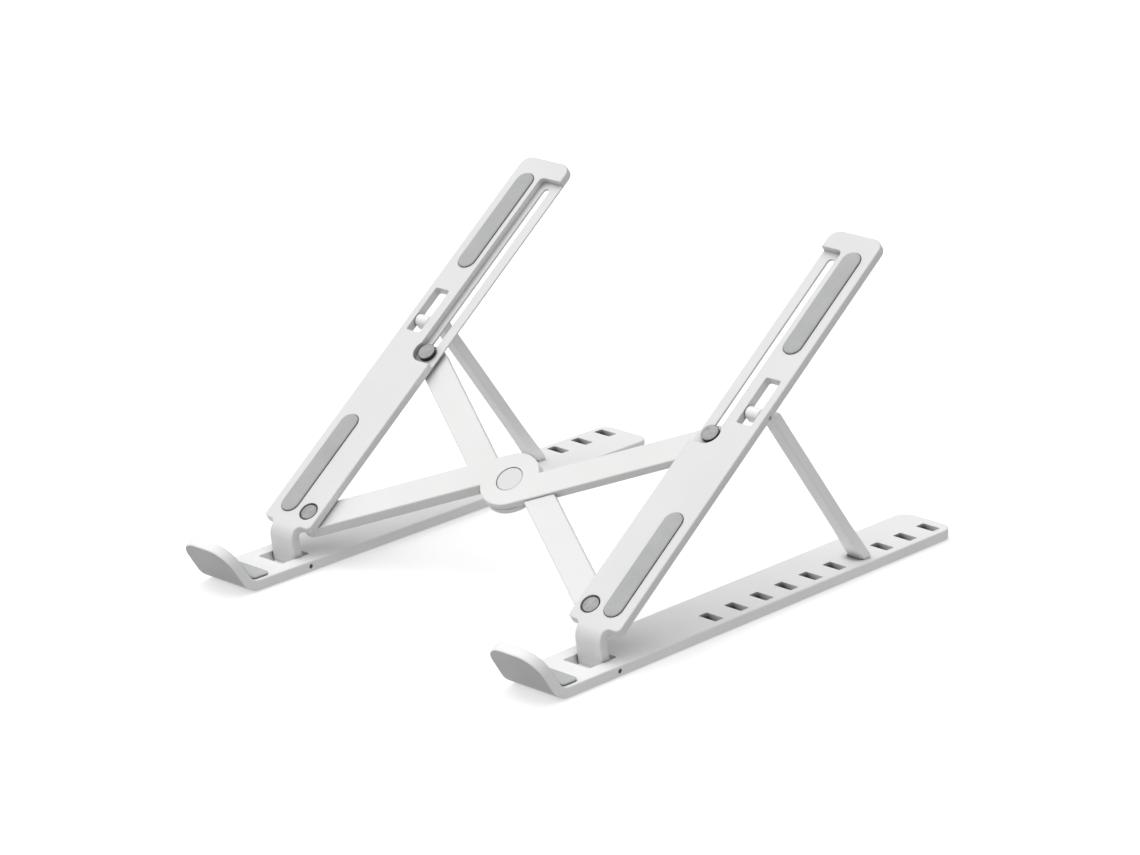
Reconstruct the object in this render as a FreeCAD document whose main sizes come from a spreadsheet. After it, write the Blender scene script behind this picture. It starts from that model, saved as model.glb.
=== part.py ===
"""Folding scissor-bar laptop stand: two sloping arms on two floor rails.

Frame: X across the stand, +Y towards the raised end, Z up, millimetres. The origin
is on the floor, in the middle of the stand's outline. The stand is open, with its
struts in the seventh slot of each rail.
"""
import FreeCAD, Part
import math
import os

import Sketcher
from FreeCAD import Placement, Rotation, Vector

# Every driving dimension: alias -> value in mm, degrees or a count.
DIMENSIONS = {
    # Stand
    "unit_offset": 78.2,        # mid-plane to the middle of each rail and arm
    "pin_setback": 74.7,        # rail pin axis ahead of the stand's middle
    "pin_height": 2.6,          # rail pin axis above the floor
    "edge_round": 0.5,          # small rounding of moulded edges
    # Rail
    "rail_width": 25.0,
    "rail_thick": 4.2,
    "rail_tail": 194.0,         # pin axis to the rail's rear end
    "rail_end_round": 5.7,
    "bend_reach": 31.8,         # pin axis to the outer corner of the lip's bend
    "bend_round": 10.5,          # outside of the lip's bend
    "bend_inside": 5.5,         # inside of the lip's bend
    "lip_lean": 35.0,           # lip from the vertical
    "lip_length": 22.6,
    "lip_round": 9.0,
    "window_front": 9.5,        # neck window, ahead of the pin axis
    "window_back": 5.4,
    "window_width": 12.6,
    "slot_count": 10,
    "slot_pitch": 14.3,
    "slot_first": 55.4,         # pin axis to the first slot
    "slot_length": 4.7,
    "slot_width": 8.3,
    "slot_offset": 5.5,         # slots, window and strut, outward of the unit's middle
    "slot_round": 0.5,
    "strut_slot": 7,            # slot that the strut stands in
    # Rail trim
    "hook_pad_thick": 0.9,
    "hook_pad_inset": 1.6,
    "hook_pad_back": 19.7,      # rear end of the hook pad, ahead of the pin axis
    "hook_pad_climb": 15.0,
    "hook_pad_round": 2.5,      # rear corners
    "foot_thick": 1.0,
    "foot_sink": 0.5,
    "foot_round": 2.0,
    "front_foot_width": 18.0,
    "front_foot_front": 26.0,   # both ends ahead of the pin axis
    "front_foot_back": 12.0,
    "rear_foot_width": 9.0,
    "rear_foot_offset": 5.8,    # inward of the rail's middle
    "rear_foot_front": 146.0,
    "rear_foot_back": 188.0,
    # Pins
    "rail_pin_radius": 0.85,
    "strut_pin_radius": 0.75,
    "pin_play": 0.05,
    "pin_sink": 0.3,            # pin ends below the outer faces
    # Arm, in its own frame: v along it and w square to it, both from the rail pin
    "arm_tilt": 37.34,
    "arm_top": 12.2,
    "arm_thick": 3.6,
    "arm_start": 8.4,
    "arm_end": 193.4,
    "arm_width": 24.6,
    "arm_end_round": 4.7,
    "arm_heel_round": 2.0,
    "neck_lean": 61.8,          # neck from the arm's own direction
    "neck_thick": 4.2,
    "neck_width": 12.1,
    "neck_bend": 6.0,
    "neck_root_round": 1.5,
    "neck_arch": 2.3,
    "neck_end_flat": 0.05,      # flat left between the neck end's two roundings
    # Slide track for the scissor bars
    "track_offset": 6.4,        # inward of the arm's middle
    "track_play": 1.5,          # half the slot's width
    "track_end": 180.5,
    "ledge_thick": 0.9,
    "recess_edge": 2.3,         # outer wall of the recess, inward of the middle
    "recess_end": 184.9,
    "recess_start": 90.9,
    "recess_round": 2.0,
    "cup_radius": 5.1,
    "cup_at": 96.0,
    # Strut window and strut
    "strut_window_width": 7.0,
    "strut_window_start": 103.0,
    "strut_window_end": 124.4,
    "window_round": 0.8,
    "strut_pin_at": 109.7,
    "strut_pin_depth": 2.5,     # below the arm's top face
    "strut_pin_inner": 1.0,     # inner end of the pin, inward of the arm's middle
    "strut_lean": 38.0,
    "strut_thick": 4.35,
    "strut_width": 6.5,
    "strut_set": 5.3,           # blade's middle behind the pin axis
    "strut_barrel": 2.55,
    "strut_round": 0.8,
    "web_front": 2.6,           # corners of the web, below the pin axis
    "web_back": 3.8,
    "blade_front": 8.6,
    "blade_back": 7.0,
    "blade_lap": 1.0,           # web's front corner above the blade
    "web_share": 0.96,          # web's half width as a part of the barrel's radius
    "web_toe_round": 1.5,
    "web_front_round": 3.0,
    "web_back_round": 2.5,
    "web_heel_round": 1.0,
    "flare_start": 76.0,
    "flare_end": 92.0,
    "tip_width": 7.9,
    "tip_depth": 1.2,           # tip below the rail's top face
    "tip_gap": 0.25,            # tip to the slot's rear wall
    "tip_rise": 20.8,           # path of the tip as it leaves the slot
    # Arm pads
    "pad_offset": 4.1,
    "pad_radius": 3.95,
    "pad_gap": 0.25,
    "pad_thick": 1.4,
    "pad_sink": 0.6,
    "lower_pad_start": 17.05,
    "lower_pad_end": 56.65,
    "upper_pad_start": 140.25,
    "upper_pad_end": 181.25,
    # Scissor bars, in a frame turned to lie along each bar
    "bar_reach": 82.1,          # centre rivet to the end rivets, along the bar
    "bar_inner": 0.7,           # inner edge of each half, off the centre line
    "boss_radius": 12.2,
    "pivot_at": 15.7,           # arm pivots, along the arm
    "bar_a_gap": 0.5,           # bar A's top below the arm's underside
    "bar_a_lower_thick": 4.75,
    "bar_a_upper_thick": 3.6,
    "bar_a_boss_thick": 2.9,
    "bar_b_step": 0.86,         # bar B's top below bar A's
    "bar_b_thick": 4.5,
    "lap_gap": 0.3,
    "notch_reach": 26.0,
    "notch_inner": 5.0,
    # Rivets
    "shank_radius": 1.3,
    "pivot_head_radius": 3.4,
    "pivot_cup_radius": 3.95,
    "pivot_cup_depth": 1.6,
    "pivot_head_thick": 1.5,
    "slider_head_radius": 3.6,
    "slider_head_thick": 1.9,
    "slider_head_gap": 0.2,
    "tail_radius": 2.7,
    "tail_thick": 0.9,
    "tail_cup_radius": 3.2,
    "tail_cup_depth": 1.2,
    "washer_radius": 3.2,
    "washer_gap": 0.1,
    "centre_head_radius": 5.3,
    "centre_cup_radius": 5.45,
    "centre_head_thick": 1.4,
    "centre_cup_depth": 1.5,
    "centre_shank_radius": 2.0,
    "rivet_play": 0.08,
}

SIDES = {"left": -1, "right": 1}
TOLERANCE = 0.01


class Size:
    """A number together with the spreadsheet expression that gives it."""

    def __init__(self, value, text):
        self.value = float(value)
        self.text = text

    def joined(self, sign, other, value):
        return Size(value, "(%s %s %s)" % (self.text, sign, size(other).text))

    def __add__(self, other):
        return self.joined("+", other, self.value + size(other).value)

    def __sub__(self, other):
        return self.joined("-", other, self.value - size(other).value)

    def __mul__(self, other):
        return self.joined("*", other, self.value * size(other).value)

    def __truediv__(self, other):
        return self.joined("/", other, self.value / size(other).value)

    def __neg__(self):
        return self * -1


def size(number):
    """Return a Size for a plain number, and a Size unchanged."""
    if isinstance(number, Size):
        return number
    return Size(number, "(%r)" % float(number))


def dim(alias):
    """Return one driving dimension."""
    return Size(DIMENSIONS[alias], "Sizes." + alias)


def sine(angle):
    return Size(math.sin(math.radians(angle.value)), "sin(%s * 1deg)" % angle.text)


def cosine(angle):
    return Size(math.cos(math.radians(angle.value)), "cos(%s * 1deg)" % angle.text)


def tangent(angle):
    return Size(math.tan(math.radians(angle.value)), "tan(%s * 1deg)" % angle.text)


ZERO = size(0)
doc = FreeCAD.newDocument("LaptopStand")


def make_sheet():
    """Write the driving dimensions as plain numbers with aliases."""
    sheet = doc.addObject("Spreadsheet::Sheet", "Sizes")
    for row, (alias, value) in enumerate(DIMENSIONS.items(), start=1):
        sheet.set("A%d" % row, alias)
        sheet.set("B%d" % row, str(value))
        sheet.setAlias("B%d" % row, alias)
    doc.recompute()


# ---------------------------------------------------------------- sketches

def bind(sketch, constraint, length):
    """Add a constraint whose value follows the spreadsheet."""
    index = sketch.addConstraint(constraint)
    sketch.setExpression("Constraints[%d]" % index, size(length).text)


def pin_point(sketch, geometry, vertex, x, y):
    """Hold a vertex at (x, y) from the sketch's origin."""
    x, y = size(x), size(y)
    bind(sketch, Sketcher.Constraint("DistanceX", -1, 1, geometry, vertex, x.value), x)
    bind(sketch, Sketcher.Constraint("DistanceY", -1, 1, geometry, vertex, y.value), y)


def new_sketch(body, name, role, height=0, at=(0, 0), turn=None):
    """Make a sketch on one of the body's origin planes, lifted, shifted and turned."""
    sketch = body.newObject("Sketcher::SketchObject", body.Name + name)
    plane = next(f for f in body.Origin.OriginFeatures if f.Role == role)
    sketch.AttachmentSupport = [(plane, "")]
    sketch.MapMode = "FlatFace"
    angle = turn.value if turn else 0
    place = [size(at[0]), size(at[1]), size(height)]
    base = Vector(*[s.value for s in place])
    sketch.AttachmentOffset = Placement(base, Rotation(Vector(0, 0, 1), angle))
    for axis, length in zip("xyz", place):
        sketch.setExpression("AttachmentOffset.Base." + axis, length.text)
    if turn:
        sketch.setExpression("AttachmentOffset.Rotation.Angle", turn.text)
    return sketch


def circle(sketch, x, y, radius):
    x, y, radius = size(x), size(y), size(radius)
    centre = Vector(x.value, y.value, 0)
    index = sketch.addGeometry(Part.Circle(centre, Vector(0, 0, 1), radius.value))
    pin_point(sketch, index, 3, x, y)
    bind(sketch, Sketcher.Constraint("Radius", index, radius.value), radius)
    return sketch


def stadium(sketch, start, end, radius):
    """Draw a slot shape whose end centres are start and end, one behind the other."""
    radius = size(radius)
    first = Vector(size(start[0]).value, size(start[1]).value, 0)
    last = Vector(size(end[0]).value, size(end[1]).value, 0)
    along = (last - first).normalize()
    side = Vector(-along.y, along.x, 0) * radius.value
    up = math.atan2(side.y, side.x)
    near = sketch.addGeometry(Part.ArcOfCircle(
        Part.Circle(first, Vector(0, 0, 1), radius.value), up, up + math.pi))
    far = sketch.addGeometry(Part.ArcOfCircle(
        Part.Circle(last, Vector(0, 0, 1), radius.value), up - math.pi, up))
    right = sketch.addGeometry(Part.LineSegment(first - side, last - side))
    left = sketch.addGeometry(Part.LineSegment(last + side, first + side))
    sketch.addConstraint([
        Sketcher.Constraint("Tangent", near, 2, right, 1),
        Sketcher.Constraint("Tangent", right, 2, far, 1),
        Sketcher.Constraint("Tangent", far, 2, left, 1),
        Sketcher.Constraint("Tangent", left, 2, near, 1),
    ])
    pin_point(sketch, near, 3, *start)
    pin_point(sketch, far, 3, *end)
    bind(sketch, Sketcher.Constraint("Radius", near, radius.value), radius)
    return sketch


def corner_arc(before, corner, after, radius):
    """Return the arc that rounds a corner, and whether it runs from its own start."""
    back = (before - corner).normalize()
    ahead = (after - corner).normalize()
    half = back.getAngle(ahead) / 2
    centre = corner + (back + ahead).normalize() * (radius / math.sin(half))
    entry = corner + back * (radius / math.tan(half))
    leave = corner + ahead * (radius / math.tan(half))
    anticlockwise = back.cross(ahead).z < 0
    first, last = (entry, leave) if anticlockwise else (leave, entry)
    angles = [math.atan2(p.y - centre.y, p.x - centre.x) for p in (first, last)]
    whole = Part.Circle(centre, Vector(0, 0, 1), radius)
    return Part.ArcOfCircle(whole, angles[0], angles[1]), anticlockwise, entry, leave


def outline(sketch, corners):
    """Draw a closed outline of (x, y, radius) corners; no radius is a sharp corner."""
    points = [Vector(size(c[0]).value, size(c[1]).value, 0) for c in corners]
    count = len(corners)
    arcs = []
    for i, corner in enumerate(corners):
        arc = None
        if len(corner) == 3:
            arc = corner_arc(points[i - 1], points[i], points[(i + 1) % count],
                             size(corner[2]).value)
        arcs.append(arc)
    starts = [arc[3] if arc else point for arc, point in zip(arcs, points)]
    ends = [arc[2] if arc else point for arc, point in zip(arcs, points)]
    lines = [sketch.addGeometry(Part.LineSegment(starts[i], ends[(i + 1) % count]))
             for i in range(count)]
    for i, corner in enumerate(corners):
        if arcs[i]:
            round_corner(sketch, lines[i - 1], lines[i], points[i], arcs[i], corner)
        else:
            sketch.addConstraint(
                Sketcher.Constraint("Coincident", lines[i - 1], 2, lines[i], 1))
            pin_point(sketch, lines[i], 1, corner[0], corner[1])
    return sketch


def round_corner(sketch, incoming, outgoing, point, arc, corner):
    """Join two lines by a tangent arc and hold the sharp corner they would meet in."""
    curve, anticlockwise, _, _ = arc
    index = sketch.addGeometry(curve)
    first, last = (1, 2) if anticlockwise else (2, 1)
    apex = sketch.addGeometry(Part.Point(point), True)
    sketch.addConstraint([
        Sketcher.Constraint("Tangent", incoming, 2, index, first),
        Sketcher.Constraint("Tangent", index, last, outgoing, 1),
        Sketcher.Constraint("PointOnObject", apex, 1, incoming),
        Sketcher.Constraint("PointOnObject", apex, 1, outgoing),
    ])
    bind(sketch, Sketcher.Constraint("Radius", index, size(corner[2]).value), corner[2])
    pin_point(sketch, apex, 1, corner[0], corner[1])


def rectangle(sketch, left, right, low, high, radius=None):
    ends = [(left, low), (right, low), (right, high), (left, high)]
    if radius:
        ends = [end + (radius,) for end in ends]
    return outline(sketch, ends)


# ---------------------------------------------------------------- features

def new_body(name):
    body = doc.addObject("PartDesign::Body", name)
    body.Label = name
    return body


def pad(body, sketch, length, symmetric=False, reverse=False):
    """Extrude a sketch along its normal, or against it."""
    feature = body.newObject("PartDesign::Pad", sketch.Name + "Pad")
    feature.Profile = sketch
    feature.SideType = "Symmetric" if symmetric else "One side"
    feature.Reversed = reverse
    feature.setExpression("Length", size(length).text)
    doc.recompute()
    return feature


def pocket(body, sketch, length, symmetric=False, reverse=False):
    """Cut a sketch down from its plane, and make sure that it took something away."""
    before = body.Shape.Volume
    feature = body.newObject("PartDesign::Pocket", sketch.Name + "Pocket")
    feature.Profile = sketch
    feature.SideType = "Symmetric" if symmetric else "One side"
    feature.Reversed = reverse
    feature.setExpression("Length", size(length).text)
    doc.recompute()
    if body.Shape.Volume > before - TOLERANCE:
        raise RuntimeError(sketch.Name + " cuts nothing")
    return feature


def fillet(body, radius, chosen=None):
    """Round the edges of the body's tip for which chosen(edge) is true, or all."""
    tip = body.Tip
    feature = body.newObject("PartDesign::Fillet", body.Name + "Fillet")
    names = ["Edge%d" % number for number, edge in enumerate(tip.Shape.Edges, start=1)
             if chosen is None or chosen(edge)]
    feature.Base = (tip, names)
    feature.setExpression("Radius", size(radius).text)
    doc.recompute()
    return feature


def runs_along(edge, direction):
    """Tell whether an edge is straight and parallel to direction."""
    if not isinstance(edge.Curve, Part.Line):
        return False
    return abs(abs(edge.Curve.Direction.dot(direction)) - 1) < 1e-6


def place(item, x, y, z, tilt=None):
    """Place an object at (x, y, z), tilted about X."""
    item.Placement = Placement(Vector(), Rotation(Vector(1, 0, 0), 1 if tilt else 0))
    for axis, length in zip("xyz", (x, y, z)):
        item.setExpression("Placement.Base." + axis, size(length).text)
    if tilt:
        item.setExpression("Placement.Rotation.Angle", tilt.text)


def place_on_arm(item, x, v=ZERO, w=ZERO, tilt=None):
    """Place an object at (v, w) in an arm's side view, tilted with the arm."""
    lean = dim("arm_tilt")
    y = v * cosine(lean) - w * sine(lean) - dim("pin_setback")
    z = v * sine(lean) + w * cosine(lean) + dim("pin_height")
    place(item, x, y, z, tilt or lean)


def turned(body, name, corners):
    """Revolve an outline of (radius, height) corners about the body's Z axis."""
    sketch = new_sketch(body, name, "XZ_Plane")
    outline(sketch, corners)
    feature = body.newObject("PartDesign::Revolution", sketch.Name + "Turn")
    feature.Profile = sketch
    feature.ReferenceAxis = (sketch, ["V_Axis"])
    feature.Angle = 360
    doc.recompute()
    return feature


# ---------------------------------------------------------------- rail and its trim

def unit_x(side):
    return dim("unit_offset") * side


def lip_point(along, inward):
    """Return (y, z) of a point on the lip, from its outer corner."""
    lean = dim("lip_lean")
    y = -dim("bend_reach") - along * sine(lean) + inward * cosine(lean)
    z = -dim("rail_thick") / 2 + along * cosine(lean) + inward * sine(lean)
    return y, z


def bend_corner(inward):
    """Return (y, z) of the bend's corner on the surface that is inward of the outside."""
    half_turn = (size(90) - dim("lip_lean")) / 2
    return (inward * tangent(half_turn) - dim("bend_reach"),
            inward - dim("rail_thick") / 2)


def lip_end_edge(edge):
    """Tell whether an edge crosses the lip's thickness at its free end."""
    lean = math.radians(DIMENSIONS["lip_lean"])
    return runs_along(edge, Vector(0, math.cos(lean), math.sin(lean)))


def make_rail(side_name, side):
    """Flat bar with an upturned lip, a neck window and a row of strut slots."""
    body = new_body(side_name + "_rail")
    half = dim("rail_thick") / 2
    thick = dim("rail_thick")
    profile = new_sketch(body, "Profile", "YZ_Plane")
    outline(profile, [
        (dim("rail_tail"), -half),
        (dim("rail_tail"), half),
        bend_corner(thick) + (dim("bend_inside"),),
        lip_point(dim("lip_length"), thick),
        lip_point(dim("lip_length"), ZERO),
        bend_corner(ZERO) + (dim("bend_round"),),
    ])
    pad(body, profile, dim("rail_width"), symmetric=True)
    fillet(body, dim("rail_end_round"), lambda edge: runs_along(edge, Vector(0, 0, 1)))
    fillet(body, dim("lip_round"), lip_end_edge)
    fillet(body, dim("edge_round"))
    cut_neck_window(body)
    cut_foot_seats(body, side)
    cut_strut_slots(body, side)
    place(body, unit_x(side), -dim("pin_setback"), dim("pin_height"))


def cut_neck_window(body):
    """Cut the window that the arm's neck stands in, and the bore for its pin."""
    half_width = dim("window_width") / 2
    window = new_sketch(body, "Window", "XY_Plane", dim("rail_thick"))
    rectangle(window, -half_width, half_width, -dim("window_front"),
              dim("window_back"), dim("window_round"))
    pocket(body, window, dim("rail_thick") * 2)
    bore = new_sketch(body, "Bore", "YZ_Plane")
    circle(bore, 0, 0, dim("rail_pin_radius") + dim("pin_play"))
    pocket(body, bore, dim("rail_width") * 2, symmetric=True)


def cut_foot_seats(body, side):
    """Sink the seats of both rubber feet into the underside."""
    for number, foot in enumerate(("front_foot", "rear_foot")):
        seat = new_sketch(body, "Seat%d" % number, "XY_Plane",
                          dim("foot_sink") - dim("rail_thick") / 2)
        draw_foot(seat, foot, side)
        pocket(body, seat, dim("foot_sink") * 2)


def draw_foot(sketch, foot, side):
    """Draw the outline of the front or the rear foot."""
    half = dim(foot + "_width") / 2
    if foot == "front_foot":
        rectangle(sketch, -half, half, -dim("front_foot_front"),
                  -dim("front_foot_back"), dim("foot_round"))
        return
    x = dim("rear_foot_offset") * -side
    stadium(sketch, (x, dim("rear_foot_front") + half),
            (x, dim("rear_foot_back") - half), half)


def cut_strut_slots(body, side):
    """Cut the first strut slot and repeat it along the rail."""
    middle = dim("slot_offset") * side
    half = dim("slot_width") / 2
    slot = new_sketch(body, "Slot", "XY_Plane", dim("rail_thick"))
    rectangle(slot, middle - half, middle + half, dim("slot_first"),
              dim("slot_first") + dim("slot_length"), dim("slot_round"))
    cut = pocket(body, slot, dim("rail_thick") * 2)
    pattern = body.newObject("PartDesign::LinearPattern", body.Name + "Slots")
    pattern.Originals = [cut]
    pattern.Direction = (slot, ["V_Axis"])
    pattern.Mode = "Spacing"
    pattern.setExpression("Offset", dim("slot_pitch").text)
    pattern.setExpression("Occurrences", dim("slot_count").text)
    body.Tip = pattern
    doc.recompute()


def make_hook_pad(side_name, side):
    """Thin rubber pad that lines the rail in front of the neck and climbs the lip."""
    body = new_body(side_name + "_hook_pad")
    inner = dim("rail_thick")
    outer = inner + dim("hook_pad_thick")
    climb = dim("hook_pad_climb")
    profile = new_sketch(body, "Profile", "YZ_Plane")
    outline(profile, [
        (-dim("hook_pad_back"), dim("rail_thick") / 2),
        (-dim("hook_pad_back"), outer - dim("rail_thick") / 2),
        bend_corner(outer) + (dim("bend_inside") - dim("hook_pad_thick"),),
        lip_point(climb, outer),
        lip_point(climb, inner),
        bend_corner(inner) + (dim("bend_inside"),),
    ])
    pad(body, profile, dim("rail_width") - dim("hook_pad_inset") * 2, symmetric=True)
    fillet(body, dim("hook_pad_round"), lambda edge: runs_along(edge, Vector(0, 0, 1)))
    fillet(body, dim("rail_end_round"), lip_end_edge)
    place(body, unit_x(side), -dim("pin_setback"), dim("pin_height"))


def make_foot(side_name, side, foot):
    """Rubber foot, half sunk in the rail's underside."""
    body = new_body(side_name + "_" + foot)
    sole = new_sketch(body, "Sole", "XY_Plane",
                      dim("foot_sink") - dim("rail_thick") / 2)
    draw_foot(sole, foot, side)
    pad(body, sole, dim("foot_thick"), reverse=True)
    place(body, unit_x(side), -dim("pin_setback"), dim("pin_height"))


def make_rail_pin(side_name, side):
    """Pin through the rail and the arm's neck."""
    pin = doc.addObject("Part::Cylinder", side_name + "_rail_pin")
    pin.Label = pin.Name
    length = dim("rail_width") - dim("pin_sink") * 2
    pin.setExpression("Radius", dim("rail_pin_radius").text)
    pin.setExpression("Height", length.text)
    lay_across(pin, unit_x(side) - length / 2, -dim("pin_setback"), dim("pin_height"))


def lay_across(pin, x, y, z):
    """Lay a cylinder along +X with its base at (x, y, z)."""
    pin.Placement = Placement(Vector(), Rotation(Vector(0, 1, 0), 90))
    for axis, length in zip("xyz", (x, y, z)):
        pin.setExpression("Placement.Base." + axis, length.text)


# ---------------------------------------------------------------- arm and its pads

def make_arm(side_name, side):
    """Sloping plate with a bent neck, a slide track, a strut window and pad seats."""
    body = new_body(side_name + "_arm")
    draw_arm_profile(body)
    trim_beside_neck(body)
    round_arm_corners(body)
    cut_track(body, side)
    cut_strut_window(body, side)
    cut_pad_seats(body, side)
    cut_pivot_seat(body, side)
    cut_neck_bore(body)
    place_on_arm(body, unit_x(side))


def neck_point(along, across):
    """Return (v, w) of a point from the pin axis, along and across the neck."""
    lean = dim("neck_lean")
    return (along * cosine(lean) + across * sine(lean),
            along * sine(lean) - across * cosine(lean))


def draw_arm_profile(body):
    """Pad the side view: a neck round the pin that bends into a long flat plate."""
    top = dim("arm_top")
    under = top - dim("arm_thick")
    half = dim("neck_thick") / 2
    lean = dim("neck_lean")
    front_v = (top * cosine(lean) - half) / sine(lean)
    back_v = (under * cosine(lean) + half) / sine(lean)
    tip_round = half - dim("neck_end_flat")
    profile = new_sketch(body, "Profile", "YZ_Plane")
    outline(profile, [
        neck_point(-half, -half) + (tip_round,),
        (front_v, top, dim("neck_bend")),
        (dim("arm_end"), top),
        (dim("arm_end"), under),
        (back_v, under, dim("neck_root_round")),
        neck_point(-half, half) + (tip_round,),
    ])
    pad(body, profile, dim("arm_width"), symmetric=True)


def trim_beside_neck(body):
    """Cut the plate away on both sides of the neck, leaving small arches."""
    inner = dim("neck_width") / 2
    outer = dim("arm_width")
    low = -dim("arm_start")
    high = dim("arm_start")
    for number, side in enumerate((-1, 1)):
        trim = new_sketch(body, "Trim%d" % number, "XY_Plane", dim("arm_top") * 2)
        outline(trim, [(inner * side, low), (outer * side, low), (outer * side, high),
                       (inner * side, high, dim("neck_arch"))])
        pocket(body, trim, dim("arm_top") * 4)


def round_arm_corners(body):
    """Round the plate's corners in plan, then all its edges."""
    square = Vector(0, 0, 1)
    halfway = DIMENSIONS["arm_end"] / 2

    def is_far(edge):
        return runs_along(edge, square) and edge.CenterOfMass.y > halfway

    def is_heel(edge):
        outside = abs(edge.CenterOfMass.x) > DIMENSIONS["arm_width"] / 2 - TOLERANCE
        return runs_along(edge, square) and edge.CenterOfMass.y < halfway and outside

    fillet(body, dim("arm_end_round"), is_far)
    fillet(body, dim("arm_heel_round"), is_heel)
    fillet(body, dim("edge_round"))


def cut_track(body, side):
    """Cut the recess, open to the inner side, and the slot that guides a bar's rivet."""
    inner = dim("arm_width") * -side
    middle = dim("track_offset") * -side
    edge = dim("recess_edge") * -side
    depth = dim("arm_thick") - dim("ledge_thick")
    recess = new_sketch(body, "Recess", "XY_Plane", dim("arm_top"))
    outline(recess, [
        (inner, dim("recess_start")),
        (middle, dim("recess_start")),
        (middle, dim("cup_at")),
        (edge, dim("cup_at")),
        (edge, dim("recess_end"), dim("recess_round")),
        (inner, dim("recess_end")),
    ])
    pocket(body, recess, depth)
    cup = new_sketch(body, "Cup", "XY_Plane", dim("arm_top"))
    circle(cup, middle, dim("cup_at"), dim("cup_radius"))
    pocket(body, cup, depth)
    slot = new_sketch(body, "Track", "XY_Plane", dim("arm_top"))
    stadium(slot, (middle, slider_at()), (middle, dim("track_end")), dim("track_play"))
    pocket(body, slot, dim("arm_thick") * 2)


def cut_strut_window(body, side):
    """Cut the window that the strut's barrel turns in, and the bore for its pin."""
    middle = dim("slot_offset") * side
    half = dim("strut_window_width") / 2
    window = new_sketch(body, "StrutWindow", "XY_Plane", dim("arm_top"))
    rectangle(window, middle - half, middle + half, dim("strut_window_start"),
              dim("strut_window_end"), dim("window_round"))
    pocket(body, window, dim("arm_thick") * 2)
    outside = dim("arm_width") / 2 + dim("edge_round")
    bore = new_sketch(body, "StrutBore", "YZ_Plane", outside * side)
    circle(bore, dim("strut_pin_at"), strut_pin_w(),
           dim("strut_pin_radius") + dim("pin_play"))
    pocket(body, bore, outside + dim("strut_pin_inner"), reverse=side < 0)


def strut_pin_w():
    return dim("arm_top") - dim("strut_pin_depth")


def cut_pad_seats(body, side):
    """Sink the seats of both grip pads into the top face."""
    for name in ("lower_pad", "upper_pad"):
        seat = new_sketch(body, name.title().replace("_", ""), "XY_Plane",
                          dim("arm_top"))
        draw_pad(seat, name, side, dim("pad_radius") + dim("pad_gap"))
        pocket(body, seat, dim("pad_sink"))


def draw_pad(sketch, name, side, radius):
    middle = dim("pad_offset") * side
    stadium(sketch, (middle, dim(name + "_start")), (middle, dim(name + "_end")), radius)


def cut_pivot_seat(body, side):
    """Cut the cup and the hole of the rivet that a scissor bar turns on."""
    middle = dim("track_offset") * -side
    cup = new_sketch(body, "PivotCup", "XY_Plane", dim("arm_top"))
    circle(cup, middle, dim("pivot_at"), dim("pivot_cup_radius"))
    pocket(body, cup, dim("pivot_cup_depth"))
    hole = new_sketch(body, "PivotHole", "XY_Plane", dim("arm_top"))
    circle(hole, middle, dim("pivot_at"), dim("shank_radius") + dim("rivet_play"))
    pocket(body, hole, dim("arm_thick") * 2)


def cut_neck_bore(body):
    bore = new_sketch(body, "NeckBore", "YZ_Plane")
    circle(bore, 0, 0, dim("rail_pin_radius") + dim("pin_play"))
    pocket(body, bore, dim("arm_width") * 2, symmetric=True)


def make_pad(side_name, side, name):
    """Rubber grip pad that stands proud of the arm's top face."""
    body = new_body(side_name + "_" + name)
    base = dim("arm_top") - dim("pad_sink")
    sketch = new_sketch(body, "Pad", "XY_Plane", base)
    draw_pad(sketch, name, side, dim("pad_radius"))
    pad(body, sketch, dim("pad_thick"))
    crown = (base + dim("pad_thick")).value
    fillet(body, dim("edge_round"), lambda edge: edge.BoundBox.ZMin > crown - TOLERANCE)
    place_on_arm(body, unit_x(side))


# ---------------------------------------------------------------- strut

def make_strut(side_name, side):
    """Prop with a barrel on the arm's cross pin, a set-back blade and a wedge foot."""
    body = new_body(side_name + "_strut")
    front = dim("strut_set") - dim("strut_thick") / 2
    back = dim("strut_set") + dim("strut_thick") / 2
    draw_blade(body, front)
    draw_web(body, front, back)
    barrel = new_sketch(body, "Barrel", "YZ_Plane")
    circle(barrel, 0, 0, dim("strut_barrel"))
    pad(body, barrel, dim("strut_width"), symmetric=True)
    fillet(body, dim("strut_round"), lambda edge: edge.BoundBox.XLength < 1)
    shape_foot(body)
    bore = new_sketch(body, "Bore", "YZ_Plane")
    circle(bore, 0, 0, dim("strut_pin_radius") + dim("pin_play"))
    pocket(body, bore, dim("strut_width") * 2, symmetric=True)
    place_on_arm(body, unit_x(side) + dim("slot_offset") * side,
                 dim("strut_pin_at"), strut_pin_w(), dim("strut_lean"))


def draw_blade(body, front):
    """Pad the blade's front view, which flares towards the foot."""
    narrow = dim("strut_width") / 2
    wide = dim("tip_width") / 2
    top = -dim("blade_front") - dim("blade_lap")
    bottom = -blade_length()
    blade = new_sketch(body, "Blade", "XZ_Plane", -front)
    outline(blade, [
        (-wide, bottom),
        (wide, bottom),
        (wide, -dim("flare_end")),
        (narrow, -dim("flare_start")),
        (narrow, top),
        (-narrow, top),
        (-narrow, -dim("flare_start")),
        (-wide, -dim("flare_end")),
    ])
    pad(body, blade, dim("strut_thick"), reverse=True)


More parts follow.
